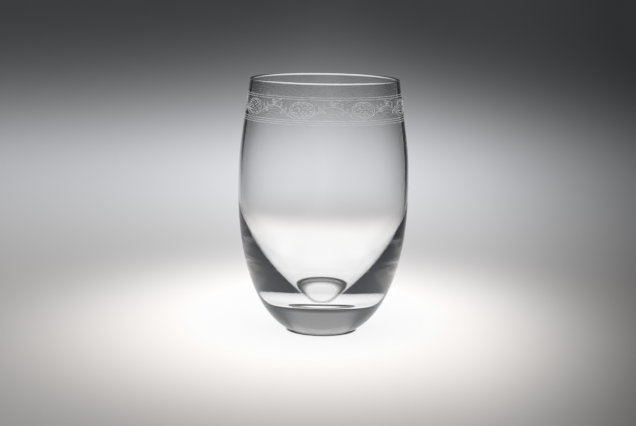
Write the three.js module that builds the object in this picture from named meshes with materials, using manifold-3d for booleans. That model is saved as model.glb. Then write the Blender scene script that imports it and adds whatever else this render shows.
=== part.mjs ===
// Tall barrel tumbler: one piece of clear glass with a heavy base, and a satin-white band of
// running scrolls between fine border lines under its rim.
// Millimetres, +Z up, origin in the middle of the foot, front towards -Y.
import * as THREE from 'three';
import { mergeVertices } from 'three/addons/utils/BufferGeometryUtils.js';
import Module from 'manifold-3d';

// Outside of the glass
const HEIGHT = 120;
const MOUTH_DIAMETER = 70.2;
const BELLY_DIAMETER = 80.6;
const BELLY_HEIGHT = 68;
const RIM_LEAN = 8; // degrees that the wall leans inwards at the rim
const FOOT_DIAMETER = 31; // outer edge of the flat ring that the glass stands on
const FOOT_RING_WIDTH = 1.2;
const HEEL_TILT = 25.7; // degrees at which the heel rises from the foot
const PUNT_DEPTH = 0.8; // shallow hollow inside the foot ring
const PUNT_FLATNESS = 4; // power that keeps the hollow's middle level

// Inside of the glass
const WALL = 1.5; // from the rim down to the shoulder
const SHOULDER_HEIGHT = 62; // below it the wall thickens into the base
const BASE_THICKNESS = 15.6; // lowest point of the cavity's floor above the foot
const FLOOR_DIAMETER = 28.6; // nearly level middle of the floor
const FLOOR_TILT = 6.8; // degrees of slope that the floor has at that edge
const CORNER_RADIUS = 8.5; // rounding from the floor into the cavity's wall
const CORNER_TILT = 48; // degrees of slope where the rounding ends

// Fullness of the three long curves: how far each end runs straight, as a share of its span
const UPPER_SHARE = { belly: 0.35, rim: 0.58 };
const HEEL_SHARE = { belly: 0.535, foot: 0.604 };
const CAVITY_SHARE = { corner: 0.42, shoulder: 0.36 };

// Satin band
const BAND_BELOW_RIM = 6.4; // rim to the middle of the first line
const UPPER_LINES = 2;
const LOWER_LINES = 3;
const LINE_PITCH = 0.95;
const LINE_WIDTH = 0.4;
const SCROLL_ZONE = 9.4; // middle of the last upper line to middle of the first lower line
const SCROLL_CLEARANCE = 0.4; // scroll to border line
const SCROLL_REPEATS = 8;
const SCROLL_START = -16.5; // degrees from the front to the middle of the first eye
const STEM_WIDTH = 0.5;
const TIP_WIDTH = 0.3;
const RELIEF = 0.15; // thickness of the lines and scrolls
const SEAT_GAP = 0.1; // glass to band

// One repeat of the scroll: an eye with a rosette in it, and an arch to the next eye.
// The shares are of half the height that the scroll fills, unless a comment says otherwise.
const EYE_ASPECT = 1.45;
const EYE_TURNS = 1.12;
const EYE_DRAWN_IN_SHARE = 0.2; // of its size, lost over its turns
const EYE_START_ANGLE = -101; // degrees, just short of the lowest point
const ARCH_START_ANGLE = -59; // degrees, where the arch branches off the eye
const ARCH_CROWN_SHARE = 0.36;
const ARCH_EASE_SHARE = 0.25; // of its span, run level at the crown
const PETALS = 8;
const ROSETTE_SHARE = { across: 0.9, up: 0.62 };
const LEAF_SHARE = { along: 0.52, across: 0.2 };
const LEAF_BELLY_SHARE = 0.45; // of its length, to its widest point
const LEAVES = [
  { stem: 'rise', along: 0.5, angle: 105, size: 1 },
  { stem: 'rise', along: 0.6, angle: -50, size: 1 },
  { stem: 'rise', along: 1, angle: 55, size: 1 },
  { stem: 'rise', along: 1, angle: 90, size: 1.25 },
  { stem: 'rise', along: 1, angle: 125, size: 1 },
  { stem: 'rise', along: 1, angle: -90, size: 1 },
  { stem: 'fall', along: 0.4, angle: -130, size: 1 },
  { stem: 'fall', along: 0.5, angle: 75, size: 1 },
  { stem: 'eye', along: 0.42, angle: 25, size: 1 },
  { stem: 'eye', along: 0.6, angle: 155, size: 1 },
];

// Facets
const AROUND = 56;
const HEEL_STEPS = 12;
const UPPER_STEPS = 6;
const RIM_STEPS = 3; // on each side of its top
const CAVITY_STEPS = 7;
const CORNER_STEPS = 4;
const FLOOR_STEPS = 2;
const PUNT_STEPS = 3;
const EYE_STEPS = 22;
const ARCH_STEPS = 7;
const LEAF_STEPS = 3;

const wasm = await Module();
wasm.setup();

const glassFinish = () => new THREE.MeshStandardMaterial({
  color: 0xe9eff2, roughness: 0.03, metalness: 0, transparent: true, opacity: 0.35,
});
const satinFinish = () => new THREE.MeshStandardMaterial({
  color: 0xf2f3f4, roughness: 0.6, metalness: 0,
});

// Outer wall: two curves that meet upright at the belly
const lean = THREE.MathUtils.degToRad(RIM_LEAN);
const belly = new THREE.Vector2(BELLY_DIAMETER / 2, BELLY_HEIGHT);
const footEdge = new THREE.Vector2(FOOT_DIAMETER / 2, 0);
const rimCentre = new THREE.Vector2((MOUTH_DIAMETER - WALL) / 2, HEIGHT - WALL / 2);
const rimEdge = new THREE.Vector2(Math.cos(lean), Math.sin(lean)).multiplyScalar(WALL / 2).add(rimCentre);
const upperSpan = rimEdge.y - belly.y;

const upperWall = new THREE.CubicBezierCurve(
  belly,
  new THREE.Vector2(belly.x, belly.y + UPPER_SHARE.belly * upperSpan),
  new THREE.Vector2(Math.tan(lean), -1).multiplyScalar(UPPER_SHARE.rim * upperSpan).add(rimEdge),
  rimEdge,
);
const heel = new THREE.CubicBezierCurve(
  footEdge,
  new THREE.Vector2(1, Math.tan(THREE.MathUtils.degToRad(HEEL_TILT)))
    .multiplyScalar(HEEL_SHARE.foot * (belly.x - footEdge.x))
    .add(footEdge),
  new THREE.Vector2(belly.x, belly.y * (1 - HEEL_SHARE.belly)),
  belly,
);

// Outer radius at a height, found on the wall curve by halving
function outerRadius(height) {
  const curve = height < belly.y ? heel : upperWall;
  let low = 0;
  let high = 1;
  while (high - low > Number.EPSILON) {
    const middle = (low + high) / 2;
    if (curve.getPoint(middle).y < height) low = middle;
    else high = middle;
  }
  return curve.getPoint(low).x;
}

// Cavity below the shoulder: a wall that narrows steadily, a rounded corner and a nearly level floor.
// The arcs of floor and corner share their tangent, and the wall leaves both its ends along their slope.
function cavityPoints() {
  const floorTilt = THREE.MathUtils.degToRad(FLOOR_TILT);
  const cornerTilt = THREE.MathUtils.degToRad(CORNER_TILT);
  const floorRadius = FLOOR_DIAMETER / 2 / Math.sin(floorTilt);
  const floorCentre = new THREE.Vector2(0, BASE_THICKNESS + floorRadius);
  const cornerCentre = new THREE.Vector2(Math.sin(floorTilt), -Math.cos(floorTilt))
    .multiplyScalar(floorRadius - CORNER_RADIUS)
    .add(floorCentre);
  const arc = (centre, radius, from, to, steps) => new THREE.EllipseCurve(
    centre.x, centre.y, radius, radius, from - Math.PI / 2, to - Math.PI / 2,
  ).getPoints(steps);
  const floor = arc(floorCentre, floorRadius, 0, floorTilt, FLOOR_STEPS);
  const corner = arc(cornerCentre, CORNER_RADIUS, floorTilt, cornerTilt, CORNER_STEPS);

  const cornerEnd = corner.at(-1);
  const shoulder = new THREE.Vector2(outerRadius(SHOULDER_HEIGHT) - WALL, SHOULDER_HEIGHT);
  const rise = shoulder.y - cornerEnd.y;
  const up = new THREE.Vector2(Math.cos(cornerTilt), Math.sin(cornerTilt));
  const down = new THREE.Vector2(outerRadius(shoulder.y - WALL) - WALL, shoulder.y - WALL).sub(shoulder);
  const wall = new THREE.CubicBezierCurve(
    cornerEnd,
    up.setLength(CAVITY_SHARE.corner * rise).add(cornerEnd),
    down.setLength(CAVITY_SHARE.shoulder * rise).add(shoulder),
    shoulder,
  ).getPoints(CAVITY_STEPS);
  return [...floor, ...corner.slice(1), ...wall.slice(1)].reverse();
}

// Fire-polished rim: a half round from the outer wall over the top to the inner wall
function rimPoints() {
  const arc = (from, to) => new THREE.EllipseCurve(
    rimCentre.x, rimCentre.y, WALL / 2, WALL / 2, from, to,
  ).getPoints(RIM_STEPS);
  return [...arc(lean, Math.PI / 2), ...arc(Math.PI / 2, Math.PI + lean).slice(1)];
}

// Inner wall from just under the rim to the shoulder, parallel to the outer wall
function innerWallPoints() {
  const top = rimCentre.y - WALL / 2;
  const points = [];
  for (let i = 0; i < UPPER_STEPS; i += 1) {
    const height = THREE.MathUtils.lerp(top, SHOULDER_HEIGHT, i / UPPER_STEPS);
    points.push(new THREE.Vector2(outerRadius(height) - WALL, height));
  }
  return points;
}

// Underside: a shallow dome inside the flat foot ring
function puntPoints() {
  const edge = FOOT_DIAMETER / 2 - FOOT_RING_WIDTH;
  const points = [];
  for (let i = 0; i <= PUNT_STEPS; i += 1) {
    const share = i / PUNT_STEPS;
    points.push(new THREE.Vector2(edge * share, PUNT_DEPTH * (1 - share ** PUNT_FLATNESS)));
  }
  return points;
}

function glassBody() {
  const profile = [
    ...puntPoints(),
    ...heel.getPoints(HEEL_STEPS),
    ...upperWall.getPoints(UPPER_STEPS).slice(1),
    ...rimPoints().slice(1),
    ...innerWallPoints(),
    ...cavityPoints(),
  ];
  const mesh = new THREE.Mesh(new THREE.LatheGeometry(profile, AROUND), glassFinish());
  mesh.name = 'glass_body';
  mesh.rotation.x = Math.PI / 2;
  return mesh;
}

// A border line: a flat ring that follows the lean of the wall at its height
function borderLine(name, height) {
  const corner = (up, out) => {
    const at = height + up * LINE_WIDTH / 2;
    return new THREE.Vector2(outerRadius(at) + SEAT_GAP + out * RELIEF, at);
  };
  const section = [corner(-1, 0), corner(-1, 1), corner(1, 1), corner(1, 0), corner(-1, 0)];
  const mesh = new THREE.Mesh(new THREE.LatheGeometry(section, AROUND), satinFinish());
  mesh.name = name;
  mesh.rotation.x = Math.PI / 2;
  return mesh;
}

// Levels of the band, and the room that one repeat of the scroll has
const upperBorder = HEIGHT - BAND_BELOW_RIM;
const zoneTop = upperBorder - (UPPER_LINES - 1) * LINE_PITCH;
const lowerBorder = zoneTop - SCROLL_ZONE;
const zoneMiddle = (zoneTop + lowerBorder) / 2;
const halfZone = (SCROLL_ZONE - LINE_WIDTH) / 2 - SCROLL_CLEARANCE;
const bandRadius = outerRadius(zoneMiddle);
const repeat = 2 * Math.PI * bandRadius / SCROLL_REPEATS;

// The scroll is drawn flat, x along the wall and y up it, with the middle of its eye at the origin.
// A point on the eye: a spiral that runs anticlockwise and draws in.
function eyePoint(share) {
  const angle = THREE.MathUtils.degToRad(EYE_START_ANGLE + share * EYE_TURNS * 360);
  const size = 1 - EYE_DRAWN_IN_SHARE * share;
  const wide = EYE_ASPECT * halfZone * size;
  const high = (halfZone - STEM_WIDTH / 2) * size;
  return new THREE.Vector2(wide * Math.cos(angle), high * Math.sin(angle));
}

// The whole eye, with a stalk from its inner end to the rosette
function eyePath() {
  const points = [];
  for (let i = 0; i <= EYE_STEPS; i += 1) points.push(eyePoint(i / EYE_STEPS));
  return [...points, new THREE.Vector2()];
}

// Arch: leaves the eye along its curve, rises to the crown and falls to the foot of the next eye
function archCurves() {
  const share = (ARCH_START_ANGLE - EYE_START_ANGLE) / (EYE_TURNS * 360);
  const from = eyePoint(share);
  const crown = new THREE.Vector2(repeat / 2, ARCH_CROWN_SHARE * halfZone);
  const landing = eyePoint(0).add(new THREE.Vector2(repeat - STEM_WIDTH, 0));
  const ease = ARCH_EASE_SHARE * (landing.x - from.x);
  const level = new THREE.Vector2(ease, 0);
  const ahead = eyePoint(share + 1 / EYE_STEPS).sub(eyePoint(share - 1 / EYE_STEPS)).setLength(ease);
  return {
    rise: new THREE.CubicBezierCurve(from, from.clone().add(ahead), crown.clone().sub(level), crown),
    fall: new THREE.CubicBezierCurve(crown, crown.clone().add(level), landing.clone().sub(level), landing),
  };
}

// A flat strip along a path, narrowing from one width to another
function strip(path, from, to) {
  const sides = [[], []];
  path.forEach((point, i) => {
    const before = path[Math.max(i - 1, 0)];
    const after = path[Math.min(i + 1, path.length - 1)];
    const along = after.clone().sub(before).normalize();
    const half = THREE.MathUtils.lerp(from, to, i / (path.length - 1)) / 2;
    const across = new THREE.Vector2(-along.y, along.x).multiplyScalar(half);
    sides[0].push(point.clone().sub(across));
    sides[1].unshift(point.clone().add(across));
  });
  return new THREE.Shape([...sides[0], ...sides[1]]);
}

// A pointed leaf that grows from a place on a stem, at an angle in degrees
function leaf(base, degrees, size) {
  const angle = THREE.MathUtils.degToRad(degrees);
  const long = LEAF_SHARE.along * halfZone * size;
  const tip = new THREE.Vector2(long * Math.cos(angle), long * Math.sin(angle));
  const bulge = new THREE.Vector2(-tip.y, tip.x).setLength(LEAF_SHARE.across * halfZone * size);
  const middle = tip.clone().multiplyScalar(LEAF_BELLY_SHARE).add(base);
  const right = middle.clone().sub(bulge);
  const left = middle.clone().add(bulge);
  tip.add(base);
  const shape = new THREE.Shape();
  shape.moveTo(base.x, base.y);
  shape.quadraticCurveTo(right.x, right.y, tip.x, tip.y);
  shape.quadraticCurveTo(left.x, left.y, base.x, base.y);
  return shape;
}

// Oval rosette in the eye: petals that grow from its middle
function rosetteShapes() {
  const petals = [];
  for (let i = 0; i < PETALS; i += 1) {
    const angle = 2 * Math.PI * (i + 0.5) / PETALS;
    const wide = ROSETTE_SHARE.across * Math.cos(angle);
    const high = ROSETTE_SHARE.up * Math.sin(angle);
    const towards = THREE.MathUtils.radToDeg(Math.atan2(high, wide));
    petals.push(leaf(new THREE.Vector2(), towards, Math.hypot(wide, high) / LEAF_SHARE.along));
  }
  return petals;
}

// Every shape of one repeat: eye, rosette, arch and the leaves on them
function scrollShapes() {
  const { rise, fall } = archCurves();
  const arch = [...rise.getPoints(ARCH_STEPS), ...fall.getPoints(ARCH_STEPS).slice(1)];
  const stems = {
    eye: eyePoint,
    rise: (share) => rise.getPoint(share),
    fall: (share) => fall.getPoint(share),
  };
  return [
    strip(eyePath(), STEM_WIDTH, TIP_WIDTH),
    strip(arch, STEM_WIDTH, TIP_WIDTH),
    ...rosetteShapes(),
    ...LEAVES.map(({ stem, along, angle, size }) => leaf(stems[stem](along), angle, size)),
  ];
}

// A closed solid for joining, with only its positions kept
function solidFrom(geometry) {
  geometry.deleteAttribute('normal');
  geometry.deleteAttribute('uv');
  const merged = mergeVertices(geometry);
  return new wasm.Manifold(new wasm.Mesh({
    numProp: 3,
    vertProperties: new Float32Array(merged.attributes.position.array),
    triVerts: new Uint32Array(merged.index.array),
  }));
}

// One repeat as a flat plate: all its shapes joined in one body
function flatScroll() {
  const plates = scrollShapes().map((shape) => solidFrom(
    new THREE.ExtrudeGeometry(shape, { depth: RELIEF, bevelEnabled: false, curveSegments: LEAF_STEPS }),
  ));
  return plates.reduce((joined, plate) => joined.add(plate)).getMesh();
}

// Wraps the flat scroll on the wall, with its eye at an angle from the front
function wrapped(flat, degrees) {
  const place = THREE.MathUtils.degToRad(degrees);
  const positions = new Float32Array(flat.vertProperties.length);
  for (let i = 0; i < positions.length; i += 3) {
    const [along, up, out] = flat.vertProperties.subarray(i, i + 3);
    const angle = place + along / bandRadius;
    const height = zoneMiddle + up;
    const radius = outerRadius(height) + SEAT_GAP + out;
    positions.set([radius * Math.sin(angle), -radius * Math.cos(angle), height], i);
  }
  const geometry = new THREE.BufferGeometry();
  geometry.setAttribute('position', new THREE.BufferAttribute(positions, 3));
  geometry.setIndex(new THREE.BufferAttribute(new Uint32Array(flat.triVerts), 1));
  geometry.computeVertexNormals();
  return geometry;
}

const tumbler = new THREE.Group();
tumbler.add(glassBody());
for (let i = 0; i < UPPER_LINES; i += 1) {
  tumbler.add(borderLine(`upper_border_line_${i + 1}`, upperBorder - i * LINE_PITCH));
}
for (let i = 0; i < LOWER_LINES; i += 1) {
  tumbler.add(borderLine(`lower_border_line_${i + 1}`, lowerBorder - i * LINE_PITCH));
}
const scroll = flatScroll();
for (let i = 0; i < SCROLL_REPEATS; i += 1) {
  const mesh = new THREE.Mesh(wrapped(scroll, SCROLL_START + i * 360 / SCROLL_REPEATS), satinFinish());
  mesh.name = `scroll_${i + 1}`;
  tumbler.add(mesh);
}

export default tumbler;
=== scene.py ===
# Looks of the tall tumbler: smooth clear glass with a heavy base, and a band of fine satin-white
# scrollwork under the rim, on a pale floor with painted pools of light that fall off into a dim studio.
import math

import bpy
import numpy as np
from mathutils import Matrix, Vector


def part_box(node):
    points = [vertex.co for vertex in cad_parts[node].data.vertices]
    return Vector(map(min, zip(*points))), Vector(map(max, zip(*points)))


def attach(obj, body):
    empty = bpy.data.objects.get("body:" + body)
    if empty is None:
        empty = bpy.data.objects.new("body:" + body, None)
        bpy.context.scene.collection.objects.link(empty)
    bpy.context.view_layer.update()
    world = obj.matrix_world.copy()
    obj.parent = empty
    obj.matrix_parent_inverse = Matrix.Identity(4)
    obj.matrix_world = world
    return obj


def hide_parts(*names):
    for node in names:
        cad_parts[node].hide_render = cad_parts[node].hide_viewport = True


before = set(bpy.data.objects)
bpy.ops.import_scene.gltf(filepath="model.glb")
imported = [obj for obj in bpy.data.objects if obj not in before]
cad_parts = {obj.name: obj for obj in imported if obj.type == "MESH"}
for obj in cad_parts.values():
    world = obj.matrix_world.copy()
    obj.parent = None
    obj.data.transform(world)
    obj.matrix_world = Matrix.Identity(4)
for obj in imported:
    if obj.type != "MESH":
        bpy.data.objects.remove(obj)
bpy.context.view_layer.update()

MM = 0.001

# Sizes of the glass in millimetres, as in the part's source
glass_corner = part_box("glass_body")[1]
HEIGHT = glass_corner.z / MM
BELLY_RADIUS = glass_corner.x / MM
BELLY_HEIGHT = 68.0
MOUTH_RADIUS = 35.1
RIM_LEAN = math.radians(8)
FOOT_RADIUS = 15.5
FOOT_RING_WIDTH = 1.2
HEEL_TILT = math.radians(25.7)
PUNT_DEPTH = 0.8
PUNT_FLATNESS = 4.0
WALL = 1.5
SHOULDER_HEIGHT = 62.0
BASE_THICKNESS = 15.6
FLOOR_RADIUS = 14.3
FLOOR_TILT = math.radians(6.8)
CORNER_RADIUS = 8.5
CORNER_TILT = math.radians(48)
UPPER_SHARE = {"belly": 0.35, "rim": 0.58}
HEEL_SHARE = {"belly": 0.535, "foot": 0.604}
CAVITY_SHARE = {"corner": 0.42, "shoulder": 0.36}

# Fineness of the smooth glass. The steps of the upper wall grow shorter towards the rim by its ease.
AROUND = 256
HEEL_STEPS = 96
UPPER_STEPS = 50
UPPER_EASE = 2
RIM_STEPS = 16
CAVITY_STEPS = 64
CORNER_STEPS = 32
FLOOR_STEPS = 24
PUNT_STEPS = 28

# Finish of the glass; grains are counts per metre
GLASS_IOR = 1.52
SCUFF_GRAIN = 1800
SCUFF_EDGE = (0.42, 0.62)
SCUFF_ROUGHNESS = (0.05, 0.4)
SCUFF_HEIGHT = 0.02 * MM
FLOW_GRAIN = 45
FLOW_STRENGTH = 0.01
FLOW_DEPTH = 1.0 * MM

# Finish of the band
SATIN_GRAIN = 5200
SATIN_GRAIN_EDGE = (0.3, 0.7)
SATIN_ROUGHNESS = (0.5, 0.75)
SATIN_BUMP_STRENGTH = 0.4
SATIN_BUMP_DEPTH = 0.05 * MM
SATIN_CLOUD = 420
SATIN_CLOUD_EDGE = (0.35, 0.65)
SATIN_THIN = (0.84, 0.86, 0.88, 1.0)
SATIN_FULL = (0.95, 0.96, 0.97, 1.0)
SATIN_ALPHA = 0.3

# Satin band in millimetres. A line's section goes up and out in shares of its half width and relief,
# and its waves are a count round the glass with the shift from one line to the next.
SEAT = 0.03
RELIEF = 0.12
LINE_WIDTH = 0.22
LINE_SECTION = ((-1, 0), (-1, 0.7), (-0.6, 1), (0.6, 1), (1, 0.7), (1, 0))
LINE_WANDER = 0.12
LINE_WAVES = ((23, 2), (41, 5))
STEM_WIDTH = 0.26
STEM_ENDS = (0.6, 0.4)
VINE_WIDTH = 0.18
HAIR_WIDTH = 0.12

# Eye of the scroll, and the line that follows it inside
SCROLL_START = math.radians(-16.5)
EYE_ASPECT = 1.58
EYE_TURNS = 1.12
EYE_DRAWN_IN = 0.2
EYE_START = math.radians(-101)
EYE_POINTS = 61
INNER_EYE_INSET = 0.82
INNER_EYE_SPAN = (0.1, 0.86)
INNER_EYE_POINTS = 45

# Arch to the next eye, its second line and the ribs inside it
ARCH_START = math.radians(-59)
ARCH_CROWN = 0.36
ARCH_EASE = 0.25
ARCH_GAP = 0.5
ARCH_STEPS = 20
TANGENT_STEP = 0.02
VINE_FIRST_POINT = 6
VINE_OFFSET = (0.25, -0.75)
RIB_SCALES = (0.72, 0.46)
RIB_POINTS_LEFT_OUT = 8

# Rosette rounds: how many petals, their reach as a share of the eye, their turn as a share of one petal
ROSETTE_ROUNDS = ((4, 0.2, 0.5), (8, 0.44, 0.0), (11, 0.68, 0.5))
PETAL_LENGTH = 1.25
PETAL_WIDTH = 0.32
PETAL_SLANT = 0.45
PETAL_BOW = 0.2
PETAL_STEPS = 4

# Strokes over the crown of the arch: ahead of it, above it, length
CROWN_STROKES = ((-1.6, 2.3, 1.5), (0.6, 1.6, 2.4), (2.6, 2.5, 1.4), (3.6, 1.1, 1.2))
CROWN_BOW = 0.12
STROKE_RISE = 0.1

# Stipple, scattered evenly over a share of the repeat and of half the band's height
STIPPLE_COUNT = 34
STIPPLE_SCATTER = (0.618, 0.755)
STIPPLE_WIDE = 0.6
STIPPLE_HIGH = 1.7
STIPPLE_LENGTH = 0.45
STIPPLE_BOW = 0.1
STIPPLE_STEPS = 2

# Leaves: place along their half of the arch, direction in degrees, size
RISE_LEAVES = (
    (0.5, 105, 1.0), (0.6, -50, 1.0), (0.75, 120, 0.8), (1.0, 55, 1.0), (1.0, 90, 1.2), (1.0, 125, 1.0),
)
FALL_LEAVES = ((0.25, 60, 0.8), (0.4, -130, 1.0), (0.5, 75, 1.0), (0.68, 95, 0.8))
LEAF_LENGTH = 0.58
LEAF_FULLNESS = 0.2
MIDRIB_SPAN = (0.2, 0.85)
MIDRIB_BOW = 0.02
MIDRIB_STEPS = 3

# Camera, fitted to the outline of the glass in its 636 x 426 frame
SENSOR_WIDTH = 36.0
FRAME_WIDTH = 636
FOCAL_PIXELS = 1702.9
CAMERA_PLACE = Vector((0.0, -0.8, 0.1776))
CAMERA_PITCH = math.radians(8.649)
CAMERA_ROLL = math.radians(0.90)
CAMERA_SHIFT_PIXELS = -4.92


def bezier(points, steps, ease=1):
    """Points along a cubic curve, closer together towards its end where the ease is above 1."""
    a, b, c, d = (np.array(point, float) for point in points)
    t = 1 - (1 - np.linspace(0, 1, steps + 1)[:, None]) ** ease
    return (1 - t) ** 3 * a + 3 * (1 - t) ** 2 * t * b + 3 * (1 - t) * t ** 2 * c + t ** 3 * d


# Outer wall, rim, inner wall and cavity as one profile of radius and height
rim_centre = np.array((MOUTH_RADIUS - WALL / 2, HEIGHT - WALL / 2))
rim_edge = rim_centre + WALL / 2 * np.array((math.cos(RIM_LEAN), math.sin(RIM_LEAN)))
upper_span = rim_edge[1] - BELLY_HEIGHT
heel_start = HEEL_SHARE["foot"] * (BELLY_RADIUS - FOOT_RADIUS)
heel = bezier((
    (FOOT_RADIUS, 0),
    (FOOT_RADIUS + heel_start, heel_start * math.tan(HEEL_TILT)),
    (BELLY_RADIUS, BELLY_HEIGHT * (1 - HEEL_SHARE["belly"])),
    (BELLY_RADIUS, BELLY_HEIGHT),
), HEEL_STEPS)
upper_wall = bezier((
    (BELLY_RADIUS, BELLY_HEIGHT),
    (BELLY_RADIUS, BELLY_HEIGHT + UPPER_SHARE["belly"] * upper_span),
    rim_edge + UPPER_SHARE["rim"] * upper_span * np.array((math.tan(RIM_LEAN), -1)),
    rim_edge,
), UPPER_STEPS, UPPER_EASE)
outer_wall = np.vstack((heel, upper_wall[1:]))


def outer_radius(height):
    return np.interp(height, outer_wall[:, 1], outer_wall[:, 0])


def arc(centre, radius, start, end, steps):
    """Points along a round stretch, its angles measured from straight down."""
    turn = np.linspace(start, end, steps + 1)
    return centre + radius * np.stack((np.sin(turn), -np.cos(turn)), 1)


def cavity_profile(shoulder):
    """The cavity from the shoulder down: a narrowing wall, a rounded corner and a nearly level floor."""
    crown = FLOOR_RADIUS / math.sin(FLOOR_TILT)
    floor_centre = np.array((0, BASE_THICKNESS + crown))
    outwards = np.array((math.sin(FLOOR_TILT), -math.cos(FLOOR_TILT)))
    floor = arc(floor_centre, crown, 0, FLOOR_TILT, FLOOR_STEPS)
    corner_centre = floor_centre + (crown - CORNER_RADIUS) * outwards
    corner = arc(corner_centre, CORNER_RADIUS, FLOOR_TILT, CORNER_TILT, CORNER_STEPS)
    rise = shoulder[1] - corner[-1][1]
    up = np.array((math.cos(CORNER_TILT), math.sin(CORNER_TILT)))
    down = np.array((outer_radius(shoulder[1] - WALL) - outer_radius(shoulder[1]), -WALL))
    down /= np.linalg.norm(down)
    wall = bezier((
        corner[-1],
        corner[-1] + CAVITY_SHARE["corner"] * rise * up,
        shoulder + CAVITY_SHARE["shoulder"] * rise * down,
        shoulder,
    ), CAVITY_STEPS)
    return np.vstack((floor, corner[1:], wall[1:]))[::-1]


def glass_profile():
    turn = np.linspace(RIM_LEAN, RIM_LEAN + math.pi, 2 * RIM_STEPS + 1)
    rim = rim_centre + WALL / 2 * np.stack((np.cos(turn), np.sin(turn)), 1)
    rim_end = rim[-1]
    drop = (rim_end[1] - SHOULDER_HEIGHT) * np.linspace(0, 1, UPPER_STEPS) ** UPPER_EASE
    levels = rim_end[1] - drop
    thickness = outer_radius(rim_end[1]) - rim_end[0]
    inner_wall = np.stack((outer_radius(levels) - thickness, levels), 1)
    share = np.linspace(0, 1, PUNT_STEPS + 1)
    punt = np.stack((
        (FOOT_RADIUS - FOOT_RING_WIDTH) * share,
        PUNT_DEPTH * (1 - share ** PUNT_FLATNESS),
    ), 1)
    cavity = cavity_profile(inner_wall[-1])
    return np.vstack((punt, heel, upper_wall[1:], rim[1:], inner_wall[1:-1], cavity))


def mesh_object(name, vertices, faces, material):
    mesh = bpy.data.meshes.new(name)
    mesh.from_pydata([tuple(vertex) for vertex in np.asarray(vertices) * MM], [], faces)
    mesh.update()
    mesh.materials.append(material)
    piece = bpy.data.objects.new(name, mesh)
    bpy.context.scene.collection.objects.link(piece)
    return piece


def around_axis(radius, angle, height):
    """Places on the glass: angle 0 is the front, towards -Y."""
    return np.stack((radius * np.sin(angle), -radius * np.cos(angle), height), -1)


def lathe(profile, closed):
    """Turns a profile round the axis. A profile that isn't closed starts and ends on the axis."""
    angle = np.arange(AROUND) * 2 * math.pi / AROUND
    rows = profile if closed else profile[1:-1]
    vertices = np.concatenate([around_axis(r, angle, np.full(AROUND, z)) for r, z in rows])
    faces = []
    count = len(rows)
    for i in range(count if closed else count - 1):
        low, high = i * AROUND, (i + 1) % count * AROUND
        for k in range(AROUND):
            after = (k + 1) % AROUND
            faces.append((low + k, low + after, high + after, high + k))
    if not closed:
        start, end = len(vertices), len(vertices) + 1
        vertices = np.vstack((vertices, ((0, 0, profile[0][1]), (0, 0, profile[-1][1]))))
        last = (count - 1) * AROUND
        for k in range(AROUND):
            after = (k + 1) % AROUND
            faces.append((start, after, k))
            faces.append((end, last + k, last + after))
    return vertices, faces


class Nodes:
    """Short calls for building a node tree."""

    def __init__(self, tree):
        self.tree = tree
        tree.nodes.clear()

    def add(self, kind, inputs=(), **settings):
        node = self.tree.nodes.new(kind)
        for key, value in settings.items():
            setattr(node, key, value)
        for key, value in dict(inputs).items():
            if isinstance(value, bpy.types.NodeSocket):
                self.tree.links.new(value, node.inputs[key])
            else:
                node.inputs[key].default_value = value
        return node

    def math(self, operation, *values):
        return self.add("ShaderNodeMath", dict(enumerate(values)), operation=operation).outputs[0]

    def vector(self, operation, *values):
        node = self.add("ShaderNodeVectorMath", dict(enumerate(values)), operation=operation)
        return node.outputs["Value" if operation == "LENGTH" else "Vector"]

    def ramp(self, value, low, high, start, end):
        node = self.add("ShaderNodeMapRange", {
            "Value": value, "From Min": low, "From Max": high, "To Min": start, "To Max": end,
        }, interpolation_type="SMOOTHSTEP")
        return node.outputs["Result"]

    def noise(self, place, scale, detail):
        node = self.add("ShaderNodeTexNoise", {"Vector": place, "Scale": scale, "Detail": detail})
        return node.outputs["Fac"]

    def mix(self, share, start, end):
        node = self.add("ShaderNodeMix", {"Factor": share, "A": start, "B": end}, data_type="RGBA")
        return node.outputs["Result"]

    def seen(self):
        """1 for what is seen, straight or in the glass, and 0 for the light that falls on matt surfaces."""
        path = self.add("ShaderNodeLightPath")
        seen = self.math("MAXIMUM", path.outputs["Is Camera Ray"], path.outputs["Is Glossy Ray"])
        return self.math("MAXIMUM", seen, path.outputs["Is Transmission Ray"])


def new_material(name):
    material = bpy.data.materials.new(name)
    material.use_nodes = True
    return material, Nodes(material.node_tree)


def clear_glass():
    """Fire-polished clear glass: faint flow in its surface, and a ring of scuffs where it stands."""
    material, nodes = new_material("clear_glass")
    place = nodes.add("ShaderNodeTexCoord").outputs["Object"]
    height = nodes.add("ShaderNodeSeparateXYZ", {0: place}).outputs["Z"]
    scuffs = nodes.ramp(nodes.noise(place, SCUFF_GRAIN, detail=4), *SCUFF_EDGE, *SCUFF_ROUGHNESS)
    contact = nodes.ramp(height, 0.0, SCUFF_HEIGHT, 1, 0)
    roughness = nodes.math("MULTIPLY", scuffs, contact)
    bump = nodes.add("ShaderNodeBump", {
        "Strength": FLOW_STRENGTH,
        "Distance": FLOW_DEPTH,
        "Height": nodes.noise(place, FLOW_GRAIN, detail=1),
    })
    surface = nodes.add("ShaderNodeBsdfPrincipled", {
        "Base Color": (1.0, 1.0, 1.0, 1.0),
        "Roughness": roughness,
        "IOR": GLASS_IOR,
        "Transmission Weight": 1.0,
        "Normal": bump.outputs["Normal"],
    })
    nodes.add("ShaderNodeOutputMaterial", {"Surface": surface.outputs[0]})
    return material


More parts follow.
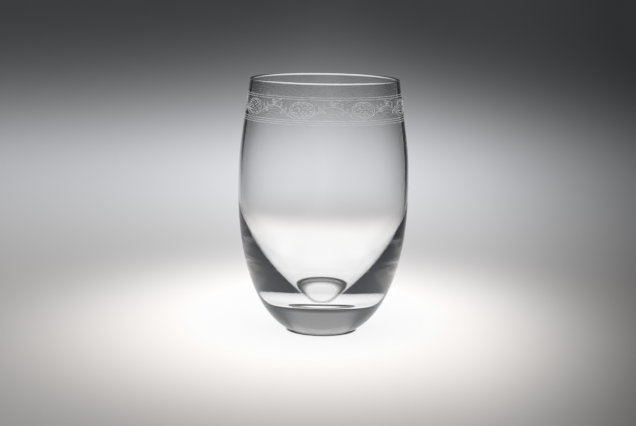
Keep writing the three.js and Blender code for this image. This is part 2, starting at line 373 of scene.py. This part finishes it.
def satin_white():
    """Matt white of the band: fine grain, and thinner in places."""
    material, nodes = new_material("satin_white")
    place = nodes.add("ShaderNodeTexCoord").outputs["Object"]
    grain = nodes.noise(place, SATIN_GRAIN, detail=3)
    cloud = nodes.noise(place, SATIN_CLOUD, detail=2)
    bump = nodes.add("ShaderNodeBump", {
        "Strength": SATIN_BUMP_STRENGTH,
        "Distance": SATIN_BUMP_DEPTH,
        "Height": grain,
    })
    surface = nodes.add("ShaderNodeBsdfPrincipled", {
        "Base Color": nodes.mix(nodes.ramp(cloud, *SATIN_CLOUD_EDGE, 0, 1), SATIN_THIN, SATIN_FULL),
        "Roughness": nodes.ramp(grain, *SATIN_GRAIN_EDGE, *SATIN_ROUGHNESS),
        "Alpha": SATIN_ALPHA,
        "Normal": bump.outputs["Normal"],
    })
    nodes.add("ShaderNodeOutputMaterial", {"Surface": surface.outputs[0]})
    return material


glass_finish = clear_glass()
satin_finish = satin_white()


def dress(piece, node):
    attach(piece, "root")
    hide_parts(node)


# The glass
glass = mesh_object("glass", *lathe(glass_profile(), False), glass_finish)
glass.data.shade_smooth()
dress(glass, "glass_body")


def middle_height(node):
    low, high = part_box(node)
    return (low.z + high.z) / 2 / MM


# Border lines: fine rings whose width wanders a little, as on a hand-finished band
def border_line(node, index):
    level = middle_height(node)
    section = []
    for up, out in LINE_SECTION:
        height = level + up * LINE_WIDTH / 2
        section.append((outer_radius(height) + SEAT + out * RELIEF, height))
    vertices, faces = lathe(np.array(section), True)
    angle = np.arctan2(vertices[:, 0], -vertices[:, 1])
    wander = sum(np.sin(count * angle + shift * index) for count, shift in LINE_WAVES)
    vertices[:, 2] += (vertices[:, 2] - level) * LINE_WANDER * wander
    piece = mesh_object("satin_" + node, vertices, faces, satin_finish)
    dress(piece, node)


border_nodes = sorted(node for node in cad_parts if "border_line" in node)
for index, node in enumerate(border_nodes):
    border_line(node, index)

# Room for one repeat of the scroll
scroll_nodes = sorted(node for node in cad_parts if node.startswith("scroll_"))
scroll_low, scroll_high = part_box(scroll_nodes[0])
half_zone = (scroll_high.z - scroll_low.z) / 2 / MM
zone_middle = (scroll_high.z + scroll_low.z) / 2 / MM
band_radius = outer_radius(zone_middle)
repeat = 2 * math.pi * band_radius / len(scroll_nodes)


class Strokes:
    """Fine strokes drawn flat, x along the wall and y up it, then wrapped on the glass as thin ribbons."""

    def __init__(self):
        self.vertices = []
        self.faces = []

    def draw(self, path, widest, start=0.4, end=0.4):
        """A stroke along a path; start and end are its end widths as shares of its widest."""
        path = np.array(path, float)
        along = np.gradient(path, axis=0)
        along /= np.linalg.norm(along, axis=1)[:, None]
        across = np.stack((-along[:, 1], along[:, 0]), 1)
        t = np.linspace(0, 1, len(path))
        ends = start + (end - start) * t
        width = widest * (ends + (1 - ends) * np.sin(math.pi * t) ** 0.5)
        first = len(self.vertices)
        for point, side, wide in zip(path, across, width):
            for share, out in ((-1, 0), (-1, 1), (1, 1), (1, 0)):
                x, y = point + side * share * wide / 2
                self.vertices.append((x, y, SEAT + out * RELIEF))
        for i in range(len(path) - 1):
            for k in range(4):
                low, high = first + 4 * i, first + 4 * (i + 1)
                self.faces.append((low + k, low + (k + 1) % 4, high + (k + 1) % 4, high + k))
        last = first + 4 * (len(path) - 1)
        self.faces.append((first + 3, first + 2, first + 1, first))
        self.faces.append((last, last + 1, last + 2, last + 3))

    def arc(self, start, end, bulge, widest, steps=6):
        """A bowed stroke between two points; bulge is its height as a share of its length."""
        start, end = np.array(start, float), np.array(end, float)
        chord = end - start
        t = np.linspace(0, 1, steps + 1)[:, None]
        normal = np.array((-chord[1], chord[0]))
        self.draw(start + chord * t + normal * bulge * 4 * t * (1 - t), widest)

    def leaf(self, base, degrees, length):
        """A leaf: two bowed edges and a midrib."""
        base = np.array(base, float)
        angle = math.radians(degrees)
        tip = base + length * np.array((math.cos(angle), math.sin(angle)))
        self.arc(base, tip, LEAF_FULLNESS, HAIR_WIDTH)
        self.arc(base, tip, -LEAF_FULLNESS, HAIR_WIDTH)
        rib_start, rib_end = (base + (tip - base) * share for share in MIDRIB_SPAN)
        self.arc(rib_start, rib_end, MIDRIB_BOW, HAIR_WIDTH, MIDRIB_STEPS)

    def wrapped(self, name, place):
        flat = np.array(self.vertices)
        height = zone_middle + flat[:, 1]
        angle = place + flat[:, 0] / band_radius
        vertices = around_axis(outer_radius(height) + flat[:, 2], angle, height)
        return mesh_object(name, vertices, self.faces, satin_finish)


def eye_point(share, inset=1.0):
    angle = EYE_START + share * EYE_TURNS * 2 * math.pi
    size = (1 - EYE_DRAWN_IN * share) * inset
    return np.array((
        EYE_ASPECT * half_zone * size * math.cos(angle),
        (half_zone - STEM_WIDTH / 2) * size * math.sin(angle),
    ))


def arch_curves():
    share = (ARCH_START - EYE_START) / (EYE_TURNS * 2 * math.pi)
    start = eye_point(share)
    crown = np.array((repeat / 2, ARCH_CROWN * half_zone))
    landing = eye_point(0) + np.array((repeat - ARCH_GAP, 0))
    ease = ARCH_EASE * (landing[0] - start[0])
    level = np.array((ease, 0))
    ahead = eye_point(share + TANGENT_STEP) - eye_point(share - TANGENT_STEP)
    ahead *= ease / np.linalg.norm(ahead)
    rise = bezier((start, start + ahead, crown - level, crown), ARCH_STEPS)
    fall = bezier((crown, crown + level, landing - level, landing), ARCH_STEPS)
    return rise, fall


def draw_scroll():
    """One repeat: the eye with its rosette, the arch to the next eye, and the leaves that fill the band."""
    ink = Strokes()
    rise, fall = arch_curves()
    arch = np.vstack((rise, fall[1:]))
    inner_eye = np.linspace(*INNER_EYE_SPAN, INNER_EYE_POINTS)
    ink.draw([eye_point(s) for s in np.linspace(0, 1, EYE_POINTS)], STEM_WIDTH, *STEM_ENDS)
    ink.draw([eye_point(s, INNER_EYE_INSET) for s in inner_eye], HAIR_WIDTH)
    ink.draw(arch, STEM_WIDTH, *STEM_ENDS)
    # Rosette: rounds of short bowed petals
    for count, reach, turn in ROSETTE_ROUNDS:
        wide, high = EYE_ASPECT * half_zone * reach, half_zone * reach
        for i in range(count):
            angle = 2 * math.pi * (i + turn) / count
            middle = np.array((wide * math.cos(angle), high * math.sin(angle)))
            along = np.array((1, PETAL_SLANT * math.cos(angle + i))) * PETAL_LENGTH / 2
            ink.arc(middle - along, middle + along, PETAL_BOW * (-1) ** i, PETAL_WIDTH, PETAL_STEPS)
    # Second line of the arch, and short strokes over its crown
    ink.draw(rise[VINE_FIRST_POINT:] + np.array(VINE_OFFSET), VINE_WIDTH)
    for ahead, above, length in CROWN_STROKES:
        start = rise[-1] + np.array((ahead, above))
        ink.arc(start, start + np.array((length, STROKE_RISE)), CROWN_BOW, PETAL_WIDTH, PETAL_STEPS)
    # Stipple in the open ground
    for i in range(STIPPLE_COUNT):
        across, up = ((i * step) % 1 - 0.5 for step in STIPPLE_SCATTER)
        dot = np.array((repeat / 2 + across * STIPPLE_WIDE * repeat, up * STIPPLE_HIGH * half_zone))
        ink.arc(dot, dot + np.array((STIPPLE_LENGTH, STROKE_RISE)), STIPPLE_BOW, VINE_WIDTH, STIPPLE_STEPS)
    # Leaves along both halves of the arch
    for stem, leaves in ((rise, RISE_LEAVES), (fall, FALL_LEAVES)):
        for share, degrees, size in leaves:
            base = stem[int(round(share * (len(stem) - 1)))]
            ink.leaf(base, degrees, LEAF_LENGTH * half_zone * size)
    # Ribs that follow the arch inside it
    foot = np.array((repeat / 2, -half_zone))
    for scale in RIB_SCALES:
        inside = foot + (arch[RIB_POINTS_LEFT_OUT:-RIB_POINTS_LEFT_OUT] - foot) * scale
        ink.draw(inside, HAIR_WIDTH)
    return ink


scroll_ink = draw_scroll()
for index, node in enumerate(scroll_nodes):
    piece = scroll_ink.wrapped("satin_" + node, SCROLL_START + index * 2 * math.pi / len(scroll_nodes))
    dress(piece, node)


# Floor: a painted pool of light round the glass and a longer painted one behind it, inside a painted
# soft beam that widens towards the back, with the dim room beyond. The floor glows with this painted
# light itself, in a painted warm tint near the glass that turns cool further back. Diffuse rays meet
# plain pale ground, so that the light on the object stays plain. Places and reaches are in metres, and
# the beam's widths are shares of the way from its start.
NEAR_POOL = {"middle": (-0.003, 0.011), "reach": (0.125, 0.165), "level": 0.65, "edge": 3.2}
BACK_POOL = {"middle": (-0.0275, 0.5445), "reach": 0.609, "level": 0.772}
BACK_LEFT = {"reach": 0.27, "edge": 1.2}
BACK_RIGHT = {"reach": 0.2, "edge": 2.4}
BEAM = {"start": -0.8, "shortest": 0.1, "middle": -0.05, "full": 0.132, "edge": 0.32, "left_over": 0.2}
SPILL_LEVEL = 0.045
DIM_LEVEL = 0.03
# Painted contact shadow under the foot: how far it reaches and how deep it goes
CONTACT_SHADE_REACH = 0.9 * MM
CONTACT_SHADE_DEPTH = 2.0
SHADED_SHARE = 0.15
NEAR_GLOW_TINT = (1.0, 0.965, 0.945, 1.0)
FAR_GLOW_TINT = (0.975, 0.99, 1.03, 1.0)
TINT_CHANGE = (-0.1, 0.6)
WHITE = (1.0, 1.0, 1.0)
PLAIN_GROUND = (0.8, 0.8, 0.8, 1.0)


def floor_material():
    material, nodes = new_material("pale_floor")
    place = nodes.add("ShaderNodeNewGeometry").outputs["Position"]

    def from_middle(pool):
        return nodes.vector("SUBTRACT", place, (*pool["middle"], 0.0))

    def falloff(distance, side):
        share = nodes.math("DIVIDE", nodes.math("MAXIMUM", distance, 0.0), side["reach"])
        return nodes.math("POWER", share, side["edge"])

    # Painted pools of light, one round the glass and one behind it, glowing from the floor's own colour
    near = nodes.vector("DIVIDE", from_middle(NEAR_POOL), (*NEAR_POOL["reach"], 1.0))
    near = nodes.math("POWER", nodes.vector("LENGTH", near), NEAR_POOL["edge"])
    near = nodes.math("EXPONENT", nodes.math("MULTIPLY", near, -1.0))
    back = nodes.add("ShaderNodeSeparateXYZ", {0: from_middle(BACK_POOL)})
    leftwards = nodes.math("MULTIPLY", back.outputs["X"], -1.0)
    across = nodes.math("ADD", falloff(leftwards, BACK_LEFT), falloff(back.outputs["X"], BACK_RIGHT))
    along = nodes.math("POWER", nodes.math("DIVIDE", back.outputs["Y"], BACK_POOL["reach"]), 2.0)
    spread = nodes.math("MULTIPLY", nodes.math("ADD", across, 1.0), nodes.math("ADD", along, 1.0))
    light = nodes.math("ADD", nodes.math("DIVIDE", BACK_POOL["level"], spread), SPILL_LEVEL)
    light = nodes.math("MULTIPLY_ADD", near, NEAR_POOL["level"], light)
    spot = nodes.add("ShaderNodeSeparateXYZ", {0: place})
    # Painted soft beam of light that widens towards the back, with the dim room outside it
    ahead = nodes.math("SUBTRACT", spot.outputs["Y"], BEAM["start"])
    ahead = nodes.math("MAXIMUM", ahead, BEAM["shortest"])
    aside = nodes.math("SUBTRACT", nodes.math("DIVIDE", spot.outputs["X"], ahead), BEAM["middle"])
    aside = nodes.math("ABSOLUTE", aside)
    beam = nodes.ramp(aside, BEAM["full"], BEAM["edge"], 1, BEAM["left_over"])
    light = nodes.math("MAXIMUM", nodes.math("MULTIPLY", light, beam), DIM_LEVEL)
    # Painted light tint: warm near the glass, turning cool further back
    tint = nodes.mix(nodes.ramp(spot.outputs["Y"], *TINT_CHANGE, 0, 1), NEAR_GLOW_TINT, FAR_GLOW_TINT)
    tone = nodes.vector("MINIMUM", nodes.vector("MULTIPLY", tint, light), WHITE)
    # Painted contact shadow: the floor's glow darkens where the glass stands close over it
    contact = nodes.add("ShaderNodeAmbientOcclusion", {"Distance": CONTACT_SHADE_REACH}).outputs["AO"]
    contact = nodes.math("POWER", contact, CONTACT_SHADE_DEPTH)
    glow = nodes.add("ShaderNodeEmission", {"Color": tone, "Strength": contact})
    matt = nodes.add("ShaderNodeBsdfDiffuse", {"Color": tone})
    path = nodes.add("ShaderNodeLightPath")
    shaded = nodes.math("MULTIPLY", path.outputs["Is Camera Ray"], SHADED_SHARE)
    shown = nodes.add("ShaderNodeMixShader", {0: shaded, 1: glow.outputs[0], 2: matt.outputs[0]})
    ground = nodes.add("ShaderNodeBsdfDiffuse", {"Color": PLAIN_GROUND})
    surface = nodes.add("ShaderNodeMixShader", {0: nodes.seen(), 1: ground.outputs[0], 2: shown.outputs[0]})
    nodes.add("ShaderNodeOutputMaterial", {"Surface": surface.outputs[0]})
    return material


# The floor lies just under the foot
FLOOR_REACH = 20.0 / MM
FLOOR_DROP = 0.2
FLOOR_CORNERS = ((-1, -1), (1, -1), (1, 1), (-1, 1))
corners = [(x * FLOOR_REACH, y * FLOOR_REACH, -FLOOR_DROP) for x, y in FLOOR_CORNERS]
floor = mesh_object("floor", corners, [(0, 1, 2, 3)], floor_material())


# Room: dim slate in front, a lighter wall behind, some light overhead, and plain even light for all
# that is matt. The ranges are parts of a direction, over which the room changes.
FRONT_TINT = (0.8, 1.0, 1.25, 1.0)
BACK_TINT = (1.0, 0.99, 1.0, 1.0)
WALL_LEVEL = 0.22
WALL_ASIDE = (0.25, 0.6)
WALL_BEHIND = (-0.1, 0.4)
WALL_RISE = (-0.02, 0.35)
OVERHEAD_LEVEL = 0.35
OVERHEAD_RISE = (0.75, 0.95)
NEUTRAL_RISE = (0.4, 0.8)
EVEN_LIGHT = (0.9, 0.9, 0.9, 1.0)


def room_light():
    world = bpy.data.worlds.new("studio")
    world.use_nodes = True
    nodes = Nodes(world.node_tree)
    direction = nodes.add("ShaderNodeTexCoord").outputs["Generated"]
    place = nodes.add("ShaderNodeSeparateXYZ", {0: direction})
    rise = place.outputs["Z"]
    aside = nodes.ramp(nodes.math("ABSOLUTE", place.outputs["X"]), *WALL_ASIDE, 1, 0)
    behind = nodes.math("MULTIPLY", aside, nodes.ramp(place.outputs["Y"], *WALL_BEHIND, 0, 1))
    wall = nodes.math("MULTIPLY", behind, nodes.ramp(rise, *WALL_RISE, 0, WALL_LEVEL))
    overhead = nodes.ramp(rise, *OVERHEAD_RISE, 0, OVERHEAD_LEVEL)
    level = nodes.math("ADD", nodes.math("ADD", wall, DIM_LEVEL), overhead)
    neutral = nodes.math("MAXIMUM", behind, nodes.ramp(rise, *NEUTRAL_RISE, 0, 1))
    tone = nodes.vector("MULTIPLY", nodes.mix(neutral, FRONT_TINT, BACK_TINT), level)
    room = nodes.add("ShaderNodeBackground", {"Color": tone})
    even = nodes.add("ShaderNodeBackground", {"Color": EVEN_LIGHT})
    surface = nodes.add("ShaderNodeMixShader", {0: nodes.seen(), 1: even.outputs[0], 2: room.outputs[0]})
    nodes.add("ShaderNodeOutputWorld", {"Surface": surface.outputs[0]})
    bpy.context.scene.world = world


room_light()

# Softbox on the left: it lights all that is matt, and isn't seen in the glass
SOFTBOX_WIDTH = 1.0
SOFTBOX_HEIGHT = 1.2
SOFTBOX_RADIANCE = 0.9
SOFTBOX_PLACE = Vector((-1.35, -0.2, 1.0))
softbox = bpy.data.lights.new("softbox", "AREA")
softbox.shape = "RECTANGLE"
softbox.size = SOFTBOX_WIDTH
softbox.size_y = SOFTBOX_HEIGHT
softbox.energy = SOFTBOX_RADIANCE * math.pi * SOFTBOX_WIDTH * SOFTBOX_HEIGHT
lamp = bpy.data.objects.new("softbox", softbox)
lamp.location = SOFTBOX_PLACE
lamp.rotation_mode = "QUATERNION"
lamp.rotation_quaternion = (-SOFTBOX_PLACE).to_track_quat("-Z", "Y")
lamp.visible_camera = False
lamp.visible_glossy = False
lamp.visible_transmission = False
bpy.context.scene.collection.objects.link(lamp)

# Camera at the photograph's viewing angle
camera_data = bpy.data.cameras.new("camera")
camera_data.sensor_width = SENSOR_WIDTH
camera_data.lens = SENSOR_WIDTH * FOCAL_PIXELS / FRAME_WIDTH
camera_data.shift_x = CAMERA_SHIFT_PIXELS / FRAME_WIDTH
forward = Vector((0, math.cos(CAMERA_PITCH), -math.sin(CAMERA_PITCH)))
level_right = Vector((1, 0, 0))
level_up = level_right.cross(forward)
right = level_right * math.cos(CAMERA_ROLL) + level_up * math.sin(CAMERA_ROLL)
up = level_up * math.cos(CAMERA_ROLL) - level_right * math.sin(CAMERA_ROLL)
camera = bpy.data.objects.new("camera", camera_data)
turned = Matrix((right, up, -forward)).transposed()
camera.matrix_world = Matrix.Translation(CAMERA_PLACE) @ turned.to_4x4()
bpy.context.scene.collection.objects.link(camera)
bpy.context.scene.camera = camera

bpy.context.scene.view_settings.view_transform = "Standard"

# Light may cross and bounce inside the thick base many times
CROSSINGS = 32
MIRRORINGS = 24
bpy.context.scene.cycles.max_bounces = CROSSINGS
bpy.context.scene.cycles.glossy_bounces = MIRRORINGS
bpy.context.scene.cycles.transmission_bounces = CROSSINGS
bpy.context.scene.cycles.transparent_max_bounces = CROSSINGS
